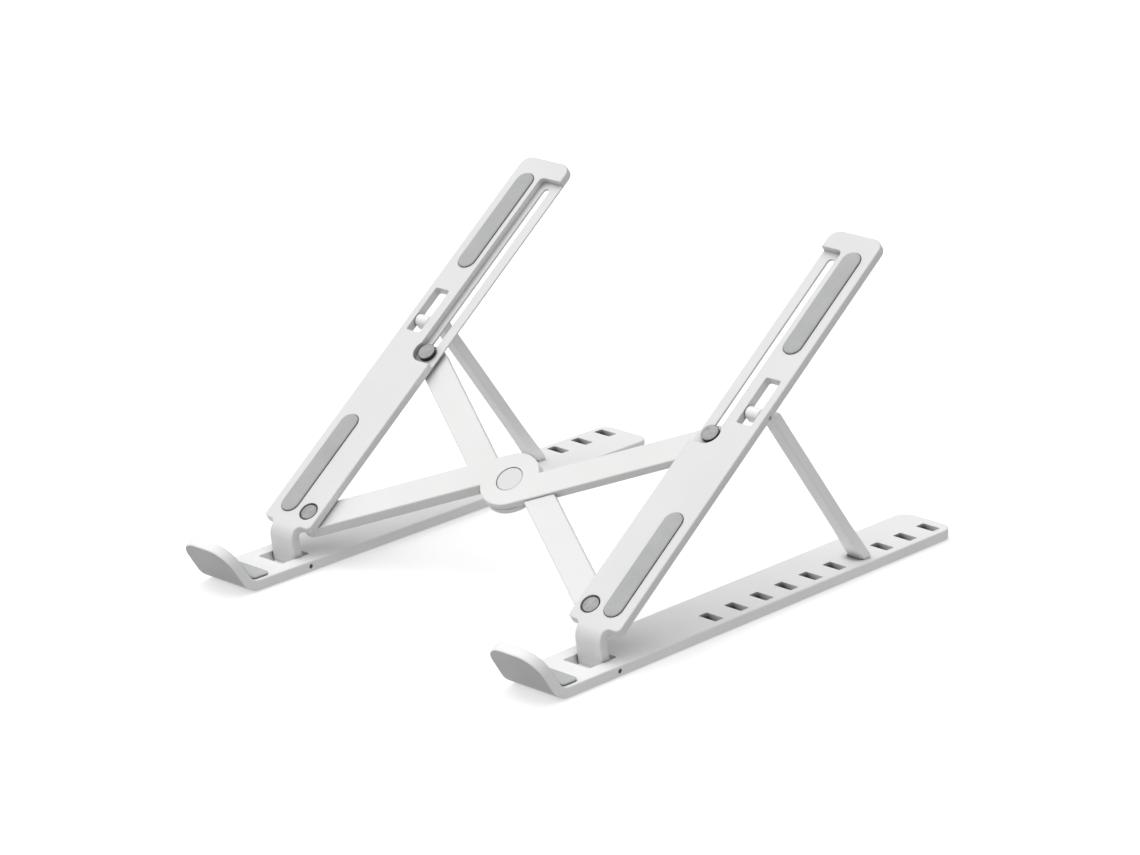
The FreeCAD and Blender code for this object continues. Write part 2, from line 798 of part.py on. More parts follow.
def draw_web(body, front, back):
    """Pad the web that carries the blade on the barrel."""
    edge = dim("strut_barrel") * dim("web_share")
    foot = -dim("blade_front") - dim("strut_thick")
    web = new_sketch(body, "Web", "YZ_Plane")
    outline(web, [
        (-edge, ZERO),
        (-edge, -dim("web_front"), dim("web_toe_round")),
        (front, -dim("blade_front"), dim("web_front_round")),
        (front, foot),
        (back, foot),
        (back, -dim("blade_back"), dim("web_back_round")),
        (edge, -dim("web_back"), dim("web_heel_round")),
        (edge, ZERO),
    ])
    pad(body, web, dim("strut_width"), symmetric=True)


def strut_pin_y():
    """Strut pin's axis behind the rail pin's."""
    lean = dim("arm_tilt")
    return dim("strut_pin_at") * cosine(lean) - strut_pin_w() * sine(lean)


def strut_pin_z():
    """Strut pin's axis above the rail pin's."""
    lean = dim("arm_tilt")
    return dim("strut_pin_at") * sine(lean) + strut_pin_w() * cosine(lean)


def blade_length():
    """Distance down the blade at which it is well below the rail's top face."""
    drop = strut_pin_z() - dim("rail_thick") / 2 + dim("tip_depth")
    return (drop + dim("strut_thick")) / cosine(dim("strut_lean"))


def shape_foot(body):
    """Cut the foot to a wedge: a flat heel, a level tip and a toe that clears the slot.

    The sketch is turned level, so its axes run along the rail and straight up.
    """
    top = dim("rail_thick") / 2 - strut_pin_z()
    tip = top - dim("tip_depth")
    slot_front = (dim("slot_first") + dim("slot_pitch") * (dim("strut_slot") - size(1))
                  - strut_pin_y())
    heel = slot_front + dim("slot_length") - dim("tip_gap")
    toe = slot_front + dim("tip_gap")
    toe_tip = toe + dim("tip_depth") / tangent(dim("tip_rise"))
    far = dim("slot_pitch")
    foot = new_sketch(body, "Foot", "YZ_Plane", turn=-dim("strut_lean"))
    outline(foot, [
        (toe - far, top - far),
        (heel + far, top - far),
        (heel + far, top + far),
        (heel, top + far / 4, dim("strut_thick")),
        (heel, tip),
        (toe_tip, tip),
        (toe, top),
        (toe - far, top),
    ])
    pocket(body, foot, dim("tip_width") * 2, symmetric=True)


def make_strut_pin(side_name, side):
    """Pin from the arm's outer side through the strut's barrel."""
    pin = doc.addObject("Part::Cylinder", side_name + "_strut_pin")
    pin.Label = pin.Name
    inner = dim("strut_pin_inner") - dim("pin_sink")
    outer = dim("arm_width") / 2 - dim("pin_sink")
    start = -inner if side > 0 else -outer
    pin.setExpression("Radius", dim("strut_pin_radius").text)
    pin.setExpression("Height", (inner + outer).text)
    lay_across(pin, unit_x(side) + start, strut_pin_y() - dim("pin_setback"),
               strut_pin_z() + dim("pin_height"))


# ---------------------------------------------------------------- scissor bars

def bar_span():
    """Distance of each arm's bar rivets from the mid-plane."""
    return dim("unit_offset") - dim("track_offset")


def bar_offset():
    """Middle of each half bar, off the line through the centre rivet."""
    return (dim("boss_radius") + dim("bar_inner")) / 2


def rivet_span_squared():
    """Square of the distance from the centre rivet to an end rivet."""
    return dim("bar_reach") * dim("bar_reach") + bar_offset() * bar_offset()


def root(square):
    return Size(math.sqrt(square.value), "sqrt(%s)" % square.text)


def bar_rise():
    """Distance up the arm from the pivot rivets to the centre rivet."""
    return root(rivet_span_squared() - bar_span() * bar_span())


def slider_at():
    return dim("pivot_at") + bar_rise() * 2


def bar_angle():
    """Angle between a bar and the arm's own direction, in degrees."""
    whole = Size(math.degrees(math.atan2(bar_span().value, bar_rise().value)),
                 "atan(%s / %s) / 1deg" % (bar_span().text, bar_rise().text))
    skew = Size(math.degrees(math.atan2(bar_offset().value, dim("bar_reach").value)),
                "atan(%s / %s) / 1deg" % (bar_offset().text, dim("bar_reach").text))
    return whole - skew


def bar_top(name):
    """Height of a bar's top face in the arm's frame."""
    top = dim("arm_top") - dim("arm_thick") - dim("bar_a_gap")
    return top if name == "bar_a" else top - dim("bar_b_step")


def bar_sketch(body, name, hand, height, turns=1):
    """Make a sketch at the centre rivet, with its X axis along a bar."""
    across = (size(90) - bar_angle())
    turn = across if hand * turns > 0 else size(180) - across
    centre = (ZERO, dim("pivot_at") + bar_rise())
    return new_sketch(body, name, "XY_Plane", height, centre, turn)


def make_bar(name, hand, lower_thick, upper_thick):
    """Two offset half bars joined by a boss at the centre rivet."""
    body = new_body(name)
    top = bar_top(name)
    offset = bar_offset() * hand
    radius = dim("boss_radius") - bar_offset()
    for half, along, thick in (("Lower", -1, lower_thick), ("Upper", 1, upper_thick)):
        strip = bar_sketch(body, half, hand, top)
        stadium(strip, (ZERO, offset * -along),
                (dim("bar_reach") * along, offset * -along), radius)
        pad(body, strip, thick, reverse=True)
    return body


def cut_lap(body, hand, height, upwards):
    """Clear the other bar's boss and halves over the whole fold."""
    reach = dim("notch_reach")
    inner = dim("notch_inner")
    outer = dim("boss_radius") + dim("lap_gap")
    boss = bar_sketch(body, "LapBoss", hand, height)
    circle(boss, 0, 0, outer)
    pocket(body, boss, dim("arm_top"), reverse=upwards)
    for number, along in enumerate((-1, 1)):
        lap = bar_sketch(body, "Lap%d" % number, hand, height, turns=-1)
        low = inner * (hand * -along)
        high = outer * (hand * along)
        outline(lap, [(0, low), (reach * along, low), (reach * along, high), (0, high)])
        pocket(body, lap, dim("arm_top"), reverse=upwards)


def bore_bar_ends(body, hand, top, thicks):
    """Bore both end holes and the cups for the rivets' tails."""
    for number, (along, thick) in enumerate(zip((-1, 1), thicks)):
        end = (dim("bar_reach") * along, bar_offset() * (hand * -along))
        under = top - thick
        hole = bar_sketch(body, "EndHole%d" % number, hand, top)
        circle(hole, *end, dim("shank_radius") + dim("rivet_play"))
        pocket(body, hole, dim("arm_top"))
        cup = bar_sketch(body, "EndCup%d" % number, hand, under)
        circle(cup, *end, dim("tail_cup_radius"))
        pocket(body, cup, dim("tail_cup_depth"), reverse=True)


def make_bar_a():
    """Upper bar: left pivot to right slider, with the visible boss."""
    thicks = (dim("bar_a_lower_thick"), dim("bar_a_upper_thick"))
    top = bar_top("bar_a")
    body = make_bar("bar_a", 1, *thicks)
    add_boss(body, 1, top, dim("bar_a_boss_thick"))
    fillet(body, dim("edge_round"), on_level(top))
    cut_lap(body, 1, top - dim("bar_a_boss_thick"), upwards=False)
    bore_bar_ends(body, 1, top, thicks)
    cup = bar_sketch(body, "CentreCup", 1, top)
    circle(cup, 0, 0, dim("centre_cup_radius"))
    pocket(body, cup, dim("centre_cup_depth"))
    bore_centre(body, 1, top)
    place_on_arm(body, ZERO)


def make_bar_b():
    """Lower bar: right pivot to left slider, notched to pass under bar A."""
    thick = dim("bar_b_thick")
    top = bar_top("bar_b")
    body = make_bar("bar_b", -1, thick, thick)
    add_boss(body, -1, top, thick)
    fillet(body, dim("edge_round"), on_level(top))
    lap = bar_top("bar_a") - dim("bar_a_boss_thick") - dim("lap_gap")
    cut_lap(body, -1, lap, upwards=True)
    bore_bar_ends(body, -1, top, (thick, thick))
    cup = bar_sketch(body, "CentreCup", -1, top - thick)
    circle(cup, 0, 0, dim("tail_cup_radius"))
    pocket(body, cup, dim("tail_thick"), reverse=True)
    bore_centre(body, -1, top)
    place_on_arm(body, ZERO)


def add_boss(body, hand, top, thick):
    boss = bar_sketch(body, "Boss", hand, top)
    circle(boss, 0, 0, dim("boss_radius"))
    pad(body, boss, thick, reverse=True)


def bore_centre(body, hand, top):
    hole = bar_sketch(body, "CentreHole", hand, top)
    circle(hole, 0, 0, dim("centre_shank_radius") + dim("rivet_play"))
    pocket(body, hole, dim("arm_top"))


def on_level(height):
    """Return a test for edges that lie at one height of the body's frame."""
    level = height.value
    return lambda edge: (edge.BoundBox.ZMin > level - TOLERANCE
                         and edge.BoundBox.ZMax < level + TOLERANCE)


# ---------------------------------------------------------------- rivets and washers

def make_rivet(name, x, v, top, head, shank_radius, under, tail_radius):
    """Turned rivet: head (radius, thickness) under top, shank and tail above under."""
    body = new_body(name)
    radius, thick = head
    crown = dim("edge_round")
    tail_top = under + dim("tail_thick")
    turned(body, "Side", [
        (ZERO, top),
        (radius, top, crown),
        (radius, top - thick),
        (shank_radius, top - thick),
        (shank_radius, tail_top),
        (tail_radius, tail_top),
        (tail_radius, under),
        (ZERO, under),
    ])
    place_on_arm(body, x, v)


def make_washer(name, x, v, low, high):
    """Flat washer between an arm and a bar."""
    body = new_body(name)
    ring = new_sketch(body, "Ring", "XY_Plane", low)
    circle(ring, 0, 0, dim("washer_radius"))
    circle(ring, 0, 0, dim("shank_radius") + dim("rivet_play"))
    pad(body, ring, high - low)
    place_on_arm(body, x, v)


def make_arm_rivets(side_name, side):
    """Pivot and slider rivets of one arm, each with its washer."""
    x = bar_span() * side
    under_arm = dim("arm_top") - dim("arm_thick")
    ends = bar_ends(side)
    ledge = under_arm + dim("ledge_thick") + dim("slider_head_gap")
    cup_floor = dim("arm_top") - dim("pivot_cup_depth")
    heads = {
        "pivot": (cup_floor + dim("pivot_head_thick"), dim("pivot_head_radius"),
                  dim("pivot_head_thick")),
        "slider": (ledge + dim("slider_head_thick"), dim("slider_head_radius"),
                   dim("slider_head_thick")),
    }
    for kind, v in (("pivot", dim("pivot_at")), ("slider", slider_at())):
        bar, thick = ends[kind]
        top, radius, head_thick = heads[kind]
        tail = bar_top(bar) - thick + dim("washer_gap")
        make_rivet("%s_%s_rivet" % (side_name, kind), x, v, top,
                   (radius, head_thick), dim("shank_radius"), tail, dim("tail_radius"))
        make_washer("%s_%s_washer" % (side_name, kind), x, v,
                    bar_top(bar) + dim("washer_gap"), under_arm - dim("washer_gap"))


def bar_ends(side):
    """Return the bar and its thickness at the pivot and the slider of one arm."""
    bar_b = ("bar_b", dim("bar_b_thick"))
    if side < 0:
        return {"pivot": ("bar_a", dim("bar_a_lower_thick")), "slider": bar_b}
    return {"pivot": bar_b, "slider": ("bar_a", dim("bar_a_upper_thick"))}


def make_centre_rivet():
    """Broad flat rivet that joins the two bars."""
    cup_floor = bar_top("bar_a") - dim("centre_cup_depth")
    under = bar_top("bar_b") - dim("bar_b_thick") - dim("washer_gap")
    make_rivet("centre_rivet", ZERO, dim("pivot_at") + bar_rise(),
               cup_floor + dim("centre_head_thick"),
               (dim("centre_head_radius"), dim("centre_head_thick")),
               dim("centre_shank_radius"), under, dim("tail_radius"))


# ---------------------------------------------------------------- whole stand

def make_stand():
    for side_name, side in SIDES.items():
        make_rail(side_name, side)
        make_hook_pad(side_name, side)
        make_rail_pin(side_name, side)
        for foot in ("front_foot", "rear_foot"):
            make_foot(side_name, side, foot)
        make_arm(side_name, side)
        for name in ("lower_pad", "upper_pad"):
            make_pad(side_name, side, name)
        make_strut(side_name, side)
        make_strut_pin(side_name, side)
        make_arm_rivets(side_name, side)
    make_bar_a()
    make_bar_b()
    make_centre_rivet()
    doc.recompute()


def check_objects():
    """Stop if any object failed to compute or any piece isn't one sound solid."""
    for item in doc.Objects:
        if "Invalid" in item.State or "Error" in item.State:
            raise RuntimeError("%s: %s" % (item.Name, item.State))
    for piece in pieces():
        shape = piece.Shape
        if shape.isNull() or not shape.isValid() or len(shape.Solids) != 1:
            raise RuntimeError(piece.Label + " is not one valid solid")


def pieces():
    return [item for item in doc.Objects
            if item.TypeId in ("PartDesign::Body", "Part::Cylinder")]


make_sheet()
make_stand()
check_objects()
os.makedirs("parts", exist_ok=True)
for piece in pieces():
    piece.Shape.exportStep("parts/%s.step" % piece.Label)
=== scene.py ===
import math

import bmesh
import bpy
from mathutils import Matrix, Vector


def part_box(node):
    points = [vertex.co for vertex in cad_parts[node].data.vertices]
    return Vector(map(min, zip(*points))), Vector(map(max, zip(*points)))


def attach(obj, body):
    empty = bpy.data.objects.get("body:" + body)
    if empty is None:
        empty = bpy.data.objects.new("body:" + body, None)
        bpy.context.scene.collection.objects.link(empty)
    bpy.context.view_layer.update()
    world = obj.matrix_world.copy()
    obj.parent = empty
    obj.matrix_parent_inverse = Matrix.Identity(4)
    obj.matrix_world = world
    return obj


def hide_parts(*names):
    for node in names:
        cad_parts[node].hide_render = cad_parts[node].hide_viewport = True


MM = 0.001

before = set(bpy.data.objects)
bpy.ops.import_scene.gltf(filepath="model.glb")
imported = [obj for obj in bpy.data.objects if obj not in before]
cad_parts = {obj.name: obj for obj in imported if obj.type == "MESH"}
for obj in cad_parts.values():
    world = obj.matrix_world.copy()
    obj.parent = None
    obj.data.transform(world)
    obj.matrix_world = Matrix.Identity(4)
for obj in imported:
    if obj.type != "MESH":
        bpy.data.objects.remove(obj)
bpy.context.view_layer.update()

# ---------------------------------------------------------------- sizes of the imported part

ARM_TILT = math.radians(37.34)
ARM_ALONG = Vector((0, math.cos(ARM_TILT), math.sin(ARM_TILT)))
ARM_UP = Vector((0, -math.sin(ARM_TILT), math.cos(ARM_TILT)))
ACROSS = Vector((1, 0, 0))
BACK = Vector((0, 1, 0))
UP = Vector((0, 0, 1))

LIP_LEAN = math.radians(35)
PIN_TO_BEND = 31.8 * MM       # rail pin to the bend's outer corner
RAIL_THICK = 4.2 * MM
HOOK_THICK = 0.9 * MM
HOOK_CLIMB = 15 * MM          # up the lip, from the bend's outer corner
HOOK_FRONT_ROUND = 5.7 * MM
HOOK_BACK_ROUND = 2.5 * MM
BEND_INSIDE = 5.5 * MM

SLOT_ROW = 83.7 * MM          # stand's middle to the row of strut slots
SLOT_HALF = 4.6 * MM          # half a slot's width across the rail, and a little more
SLOTS_START = -20 * MM        # just ahead of the first strut slot
SLOTS_END = 114.3 * MM        # just behind the last one
SLOT_SHADE_DEPTH = 2.2 * MM         # depth at which the painted shade on a slot's walls is darkest
RAIL_TOP = 4.7 * MM
LIP_BEHIND = -101 * MM        # just behind the lip's outer face
LIP_OUTWARD = (0, -math.cos(LIP_LEAN), -math.sin(LIP_LEAN))

PIVOT_HEAD = 3.4 * MM         # radii of the steel rivet heads
SLIDER_HEAD = 3.6 * MM

SIDES = ("left", "right")


# ---------------------------------------------------------------- materials

class Shader:
    """One Principled material, built node by node in the piece's own coordinates."""

    def __init__(self, name):
        self.material = bpy.data.materials.new(name)
        self.material.use_nodes = True
        self.tree = self.material.node_tree
        self.tree.nodes.clear()
        self.surface = self.add("ShaderNodeBsdfPrincipled")
        output = self.add("ShaderNodeOutputMaterial")
        self.link(self.surface.outputs["BSDF"], output.inputs["Surface"])
        own = self.add("ShaderNodeTexCoord")
        self.place = own.outputs["Object"]
        self.normal = own.outputs["Normal"]

    def add(self, kind, **settings):
        node = self.tree.nodes.new(kind)
        for name, value in settings.items():
            setattr(node, name, value)
        return node

    def link(self, source, target):
        self.tree.links.new(source, target)

    def feed(self, target, value):
        """Put a number, a colour or another node's output into a socket."""
        if isinstance(value, bpy.types.NodeSocket):
            self.link(value, target)
        else:
            target.default_value = value

    def math(self, operation, a, b=0.0, clamp=False):
        node = self.add("ShaderNodeMath", operation=operation, use_clamp=clamp)
        self.feed(node.inputs[0], a)
        self.feed(node.inputs[1], b)
        return node.outputs[0]

    def vector_math(self, operation, a, b):
        node = self.add("ShaderNodeVectorMath", operation=operation)
        self.feed(node.inputs[0], a)
        self.feed(node.inputs[1], b)
        return node

    def split(self, vector):
        node = self.add("ShaderNodeSeparateXYZ")
        self.link(vector, node.inputs[0])
        return node.outputs["X"], node.outputs["Y"], node.outputs["Z"]

    def noise(self, scale, detail=2.0, roughness=0.5, place=None):
        node = self.add("ShaderNodeTexNoise")
        self.link(place or self.place, node.inputs["Vector"])
        node.inputs["Scale"].default_value = scale
        node.inputs["Detail"].default_value = detail
        node.inputs["Roughness"].default_value = roughness
        return node.outputs["Fac"]

    def cells(self, scale):
        node = self.add("ShaderNodeTexVoronoi", feature="F1")
        self.link(self.place, node.inputs["Vector"])
        node.inputs["Scale"].default_value = scale
        return node.outputs["Distance"]

    def spread(self, value, low, high, to_low=0.0, to_high=1.0):
        """Map low..high of a value to to_low..to_high, held at both ends."""
        node = self.add("ShaderNodeMapRange", clamp=True)
        self.feed(node.inputs["Value"], value)
        for name, number in (("From Min", low), ("From Max", high),
                             ("To Min", to_low), ("To Max", to_high)):
            node.inputs[name].default_value = number
        return node.outputs["Result"]

    def blend(self, amount, first, second):
        node = self.add("ShaderNodeMix", data_type="RGBA")
        self.feed(node.inputs["Factor"], amount)
        self.feed(node.inputs["A"], first)
        self.feed(node.inputs["B"], second)
        return node.outputs["Result"]

    def soft_edges(self, radius):
        """Normal as if every sharp edge were rounded off, and how near an edge is."""
        bevel = self.add("ShaderNodeBevel", samples=4)
        bevel.inputs["Radius"].default_value = radius
        rounded = bevel.outputs["Normal"]
        flat = self.add("ShaderNodeNewGeometry").outputs["Normal"]
        alike = self.vector_math("DOT_PRODUCT", rounded, flat).outputs["Value"]
        return rounded, self.spread(alike, 0.985, 0.80)

    def crevice(self, distance):
        """0 in the open, 1 deep in a slot or corner."""
        node = self.add("ShaderNodeAmbientOcclusion", samples=6)
        node.inputs["Distance"].default_value = distance
        return self.spread(node.outputs["AO"], 0.78, 0.38)

    def bump(self, height, distance, strength=1.0, normal=None):
        node = self.add("ShaderNodeBump")
        node.inputs["Strength"].default_value = strength
        node.inputs["Distance"].default_value = distance
        self.link(height, node.inputs["Height"])
        if normal is not None:
            self.link(normal, node.inputs["Normal"])
        return node.outputs["Normal"]

    def finish(self, **inputs):
        for name, value in inputs.items():
            self.feed(self.surface.inputs[name.replace("_", " ")], value)
        return self.material


def grey(level, warm=0.0):
    """A near-neutral colour; warm above 0 tips it to yellow, below 0 to blue."""
    return (level * (1 + warm), level, level * (1 - warm), 1.0)


def moulded_plastic(name, level, warm, roughness, grain, crevice_shade=1.0, marks=None):
    """White moulded plastic: slow tint, spark-eroded grain, rubbed edges that are glossier (wear)
    and lighter (wear and painted highlight), painted shade in slots and corners.
    """
    s = Shader(name)
    rounded, edge = s.soft_edges(0.45 * MM)
    tint = s.blend(s.spread(s.noise(26, 3), 0.3, 0.7),
                   grey(level * 0.965, warm), grey(level * 1.02, warm * 0.4))
    speck = s.spread(s.noise(1900, 1), 0.66, 0.78)
    tint = s.blend(s.math("MULTIPLY", speck, 0.05), tint, grey(0.45))
    # Edges: the lower roughness is wear, and the lighter colour is wear and painted highlight.
    wear_and_highlight = s.math("MULTIPLY", edge, s.spread(s.noise(150, 3), 0.35, 0.65))
    tint = s.blend(s.math("MULTIPLY", wear_and_highlight, 0.5), tint, grey(min(level * 1.1, 0.92)))
    if marks is not None:
        tint = marks(s, tint)
    # Darkens slots, corners and gaps by ambient occlusion: painted shade, not dirt.
    tint = s.blend(s.math("MULTIPLY", s.crevice(4.5 * MM), crevice_shade), tint, grey(0.03, 0.02))
    patch = s.spread(s.noise(60, 4, 0.6), 0.3, 0.7, -0.05, 0.05)
    fine = s.spread(s.noise(grain * 0.4, 2), 0.3, 0.7, -0.06, 0.06)
    rough = s.math("ADD", s.math("ADD", roughness, patch), fine)
    rough = s.math("SUBTRACT", rough, s.math("MULTIPLY", wear_and_highlight, 0.16), clamp=True)
    texture = s.bump(s.noise(grain, 2, 0.55), 0.03 * MM, 0.35, rounded)
    wave = s.bump(s.noise(140, 1), 0.05 * MM, 0.25, texture)
    return s.finish(Base_Color=tint, Roughness=rough, Normal=wave,
                    Specular_IOR_Level=0.42)


def rail_marks(s, tint):
    """Grey outer face on the lip, and painted shade on the walls inside the strut slots, darker
    with depth and graded across the slot.
    """
    x, y, z = s.split(s.place)
    facing = s.vector_math("DOT_PRODUCT", s.normal, LIP_OUTWARD).outputs["Value"]
    ahead = s.spread(y, LIP_BEHIND, LIP_BEHIND - 1 * MM)
    lip = s.math("MULTIPLY", ahead, s.spread(facing, 0.90, 0.99))
    tint = s.blend(s.math("MULTIPLY", lip, 0.8), tint, grey(0.42, 0.004))

    _, _, normal_up = s.split(s.normal)
    upright = s.spread(s.math("ABSOLUTE", normal_up), 0.4, 0.2)
    own_row = s.math("MULTIPLY", s.math("SIGN", x), SLOT_ROW)
    off_row = s.math("SUBTRACT", x, own_row)
    inside = s.math("MULTIPLY", upright,
                    s.spread(s.math("ABSOLUTE", off_row), SLOT_HALF + 0.6 * MM, SLOT_HALF))
    row = s.math("MULTIPLY", s.spread(y, SLOTS_START - 1 * MM, SLOTS_START),
                 s.spread(y, SLOTS_END + 1 * MM, SLOTS_END))
    # Slot walls darker with depth and from one side across: painted shade.
    depth = s.spread(z, RAIL_TOP, RAIL_TOP - SLOT_SHADE_DEPTH, 0.45, 1.0)
    shaded = s.spread(off_row, -3 * MM, 4 * MM, 1.0, 0.3)
    deep = s.math("MULTIPLY", s.math("MULTIPLY", shaded, depth), s.math("MULTIPLY", inside, row))
    return s.blend(deep, tint, grey(0.012))


def silicone(name, level, warm, grain):
    """Matt rubber: fine pebble, dusty mottling, lighter rubbed edges (wear and painted highlight),
    painted shade in crevices.
    """
    s = Shader(name)
    rounded, edge = s.soft_edges(0.3 * MM)
    tint = s.blend(s.spread(s.noise(70, 4, 0.6), 0.3, 0.7),
                   grey(level * 0.93, warm), grey(level * 1.06, warm))
    dust = s.spread(s.noise(900, 2), 0.58, 0.75)
    tint = s.blend(s.math("MULTIPLY", dust, 0.16), tint, grey(min(level * 1.5, 0.8)))
    # Lighter edges: wear and painted highlight.
    tint = s.blend(s.math("MULTIPLY", edge, 0.3), tint, grey(level * 1.2, warm))
    # Darker in crevices by ambient occlusion: painted shade.
    tint = s.blend(s.crevice(1.2 * MM), tint, grey(0.05))
    rough = s.spread(s.noise(300, 3), 0.3, 0.7, 0.62, 0.82)
    pebble = s.bump(s.cells(grain), 0.05 * MM, 0.4, rounded)
    soft = s.bump(s.noise(260, 2), 0.06 * MM, 0.3, pebble)
    return s.finish(Base_Color=tint, Roughness=rough, Normal=soft,
                    Specular_IOR_Level=0.35, Sheen_Weight=0.12, Sheen_Roughness=0.45)


def turned_steel(name, centre, axis, head):
    """Steel with rings turned about an axis, a dimple and a groove with painted shade in them,
    painted dark shade on the sides, and lighter edges as painted highlight.
    """
    s = Shader(name)
    rounded, edge = s.soft_edges(0.25 * MM)
    offset = s.vector_math("SUBTRACT", s.place, tuple(centre)).outputs["Vector"]
    moment = s.vector_math("CROSS_PRODUCT", offset, tuple(axis)).outputs["Vector"]
    length = s.add("ShaderNodeVectorMath", operation="LENGTH")
    s.link(moment, length.inputs[0])
    radius = length.outputs["Value"]
    drift = s.spread(s.noise(900, 2), 0.2, 0.8, -0.1, 0.1)
    turn = s.math("ADD", s.math("MULTIPLY", radius, 2 * math.pi / (0.32 * MM)), drift)
    rings = s.math("MULTIPLY_ADD", s.math("SINE", turn), 0.5)
    rings.node.inputs[2].default_value = 0.5
    dimple = s.spread(radius, 0.1 * head, 0.34 * head)
    groove = s.math("ABSOLUTE", s.math("SUBTRACT", radius, 0.72 * head))
    groove = s.spread(groove, 0.0, 0.09 * head)
    # Sides of the head, facing across the axis, are near black: painted shade.
    facing = s.vector_math("DOT_PRODUCT", s.normal, tuple(axis)).outputs["Value"]
    side = s.spread(s.math("ABSOLUTE", facing), 0.55, 0.2)
    tint = s.blend(s.spread(s.noise(420, 4, 0.6), 0.3, 0.7), grey(0.24), grey(0.34, 0.01))
    tint = s.blend(s.math("MULTIPLY", rings, 0.18), tint, grey(0.28))
    # Darker in the dimple and the groove: painted shade.
    tint = s.blend(s.math("MULTIPLY", s.math("SUBTRACT", 1.0, dimple), 0.15), tint, grey(0.24))
    tint = s.blend(s.math("MULTIPLY", s.math("SUBTRACT", 1.0, groove), 0.2), tint, grey(0.2))
    tint = s.blend(side, tint, grey(0.035))
    # Lighter edges: painted highlight.
    tint = s.blend(s.math("MULTIPLY", edge, 0.35), tint, grey(0.8))
    rough = s.spread(s.noise(650, 3), 0.25, 0.75, 0.26, 0.46)
    shape = s.bump(dimple, 0.06 * MM, 0.5, rounded)
    shape = s.bump(groove, 0.05 * MM, 0.5, shape)
    lathe = s.bump(rings, 0.012 * MM, 0.5, shape)
    return s.finish(Base_Color=tint, Roughness=rough, Normal=lathe, Metallic=0.9)


def dark_steel(name):
    """Drawn pin steel: streaks along the pin, specks of rust-brown oxide, lighter edges as painted
    highlight.
    """
    s = Shader(name)
    rounded, edge = s.soft_edges(0.15 * MM)
    stretch = s.add("ShaderNodeMapping")
    s.link(s.place, stretch.inputs["Vector"])
    stretch.inputs["Scale"].default_value = (0.08, 1.0, 1.0)
    streak = s.noise(2600, 3, 0.6, stretch.outputs["Vector"])
    tint = s.blend(s.spread(streak, 0.3, 0.7), grey(0.03), grey(0.12, 0.01))
    spot = s.spread(s.noise(700, 3), 0.6, 0.72)
    tint = s.blend(s.math("MULTIPLY", spot, 0.3), tint, (0.09, 0.055, 0.035, 1.0))
    # Lighter edges: painted highlight.
    tint = s.blend(s.math("MULTIPLY", edge, 0.4), tint, grey(0.3))
    rough = s.spread(streak, 0.3, 0.7, 0.3, 0.5)
    drawn = s.bump(streak, 0.01 * MM, 0.5, rounded)
    return s.finish(Base_Color=tint, Roughness=rough, Normal=drawn, Metallic=0.85)


def nylon(name):
    """Natural nylon: milky, faintly cloudy, with fine turning marks, lighter edges as painted
    highlight and painted shade in crevices.
    """
    s = Shader(name)
    rounded, edge = s.soft_edges(0.2 * MM)
    tint = s.blend(s.spread(s.noise(240, 4, 0.6), 0.3, 0.7),
                   grey(0.60, 0.03), grey(0.72, 0.015))
    # Lighter edges: painted highlight.
    tint = s.blend(s.math("MULTIPLY", edge, 0.4), tint, grey(0.8, 0.01))
    # Darker in crevices by ambient occlusion: painted shade.
    tint = s.blend(s.crevice(1.5 * MM), tint, grey(0.1))
    rough = s.spread(s.noise(900, 2), 0.3, 0.7, 0.36, 0.56)
    marks = s.bump(s.noise(3200, 2), 0.02 * MM, 0.4, rounded)
    return s.finish(Base_Color=tint, Roughness=rough, Normal=marks,
                    Subsurface_Weight=0.15, Subsurface_Scale=0.8 * MM)


def paint(piece, material):
    """Give every material slot of a piece the same material."""
    if not piece.material_slots:
        piece.data.materials.append(material)
    for slot in piece.material_slots:
        slot.material = material


# The whites are copies of one plastic at different brightness, set so each part comes out lighter
# or darker: painted light and shade.
# name, brightness, warmth, roughness, grain (noise scale), painted crevice shade
rail_white = moulded_plastic("rail_white", 0.91, -0.004, 0.46, 2600, 0.85, rail_marks)
arm_white = moulded_plastic("arm_white", 0.75, -0.002, 0.46, 2600, 0.5)
bar_white = moulded_plastic("bar_white", 0.80, 0.006, 0.38, 3400, 0.35)
strut_white = moulded_plastic("strut_white", 0.91, -0.002, 0.40, 3000, 0.3)
cap_white = moulded_plastic("cap_white", 0.73, 0.0, 0.30, 4200, 0.35)
# name, brightness, warmth, pebble (cell scale)
grip_grey = silicone("grip_grey", 0.44, -0.006, 2400)
hook_grey = silicone("hook_grey", 0.50, -0.012, 2400)
foot_grey = silicone("foot_grey", 0.20, 0.0, 1800)
pin_dark = dark_steel("pin_dark")
washer_milk = nylon("washer_milk")


# ---------------------------------------------------------------- finish of the CAD pieces

def middle(node):
    low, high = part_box(node)
    return (low + high) / 2


for side in SIDES:
    paint(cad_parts[side + "_rail"], rail_white)
    paint(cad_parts[side + "_arm"], arm_white)
    paint(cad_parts[side + "_strut"], strut_white)
    paint(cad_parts[side + "_rail_pin"], pin_dark)
    paint(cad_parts[side + "_strut_pin"], washer_milk)
    for joint, head in (("pivot", PIVOT_HEAD), ("slider", SLIDER_HEAD)):
        rivet = "%s_%s_rivet" % (side, joint)
        steel = turned_steel(rivet + "_steel", middle(rivet), ARM_UP, head)
        paint(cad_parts[rivet], steel)
        paint(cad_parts["%s_%s_washer" % (side, joint)], washer_milk)
paint(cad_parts["bar_a"], bar_white)
paint(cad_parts["bar_b"], bar_white)
paint(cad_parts["centre_rivet"], cap_white)


# ---------------------------------------------------------------- re-made rubber pieces

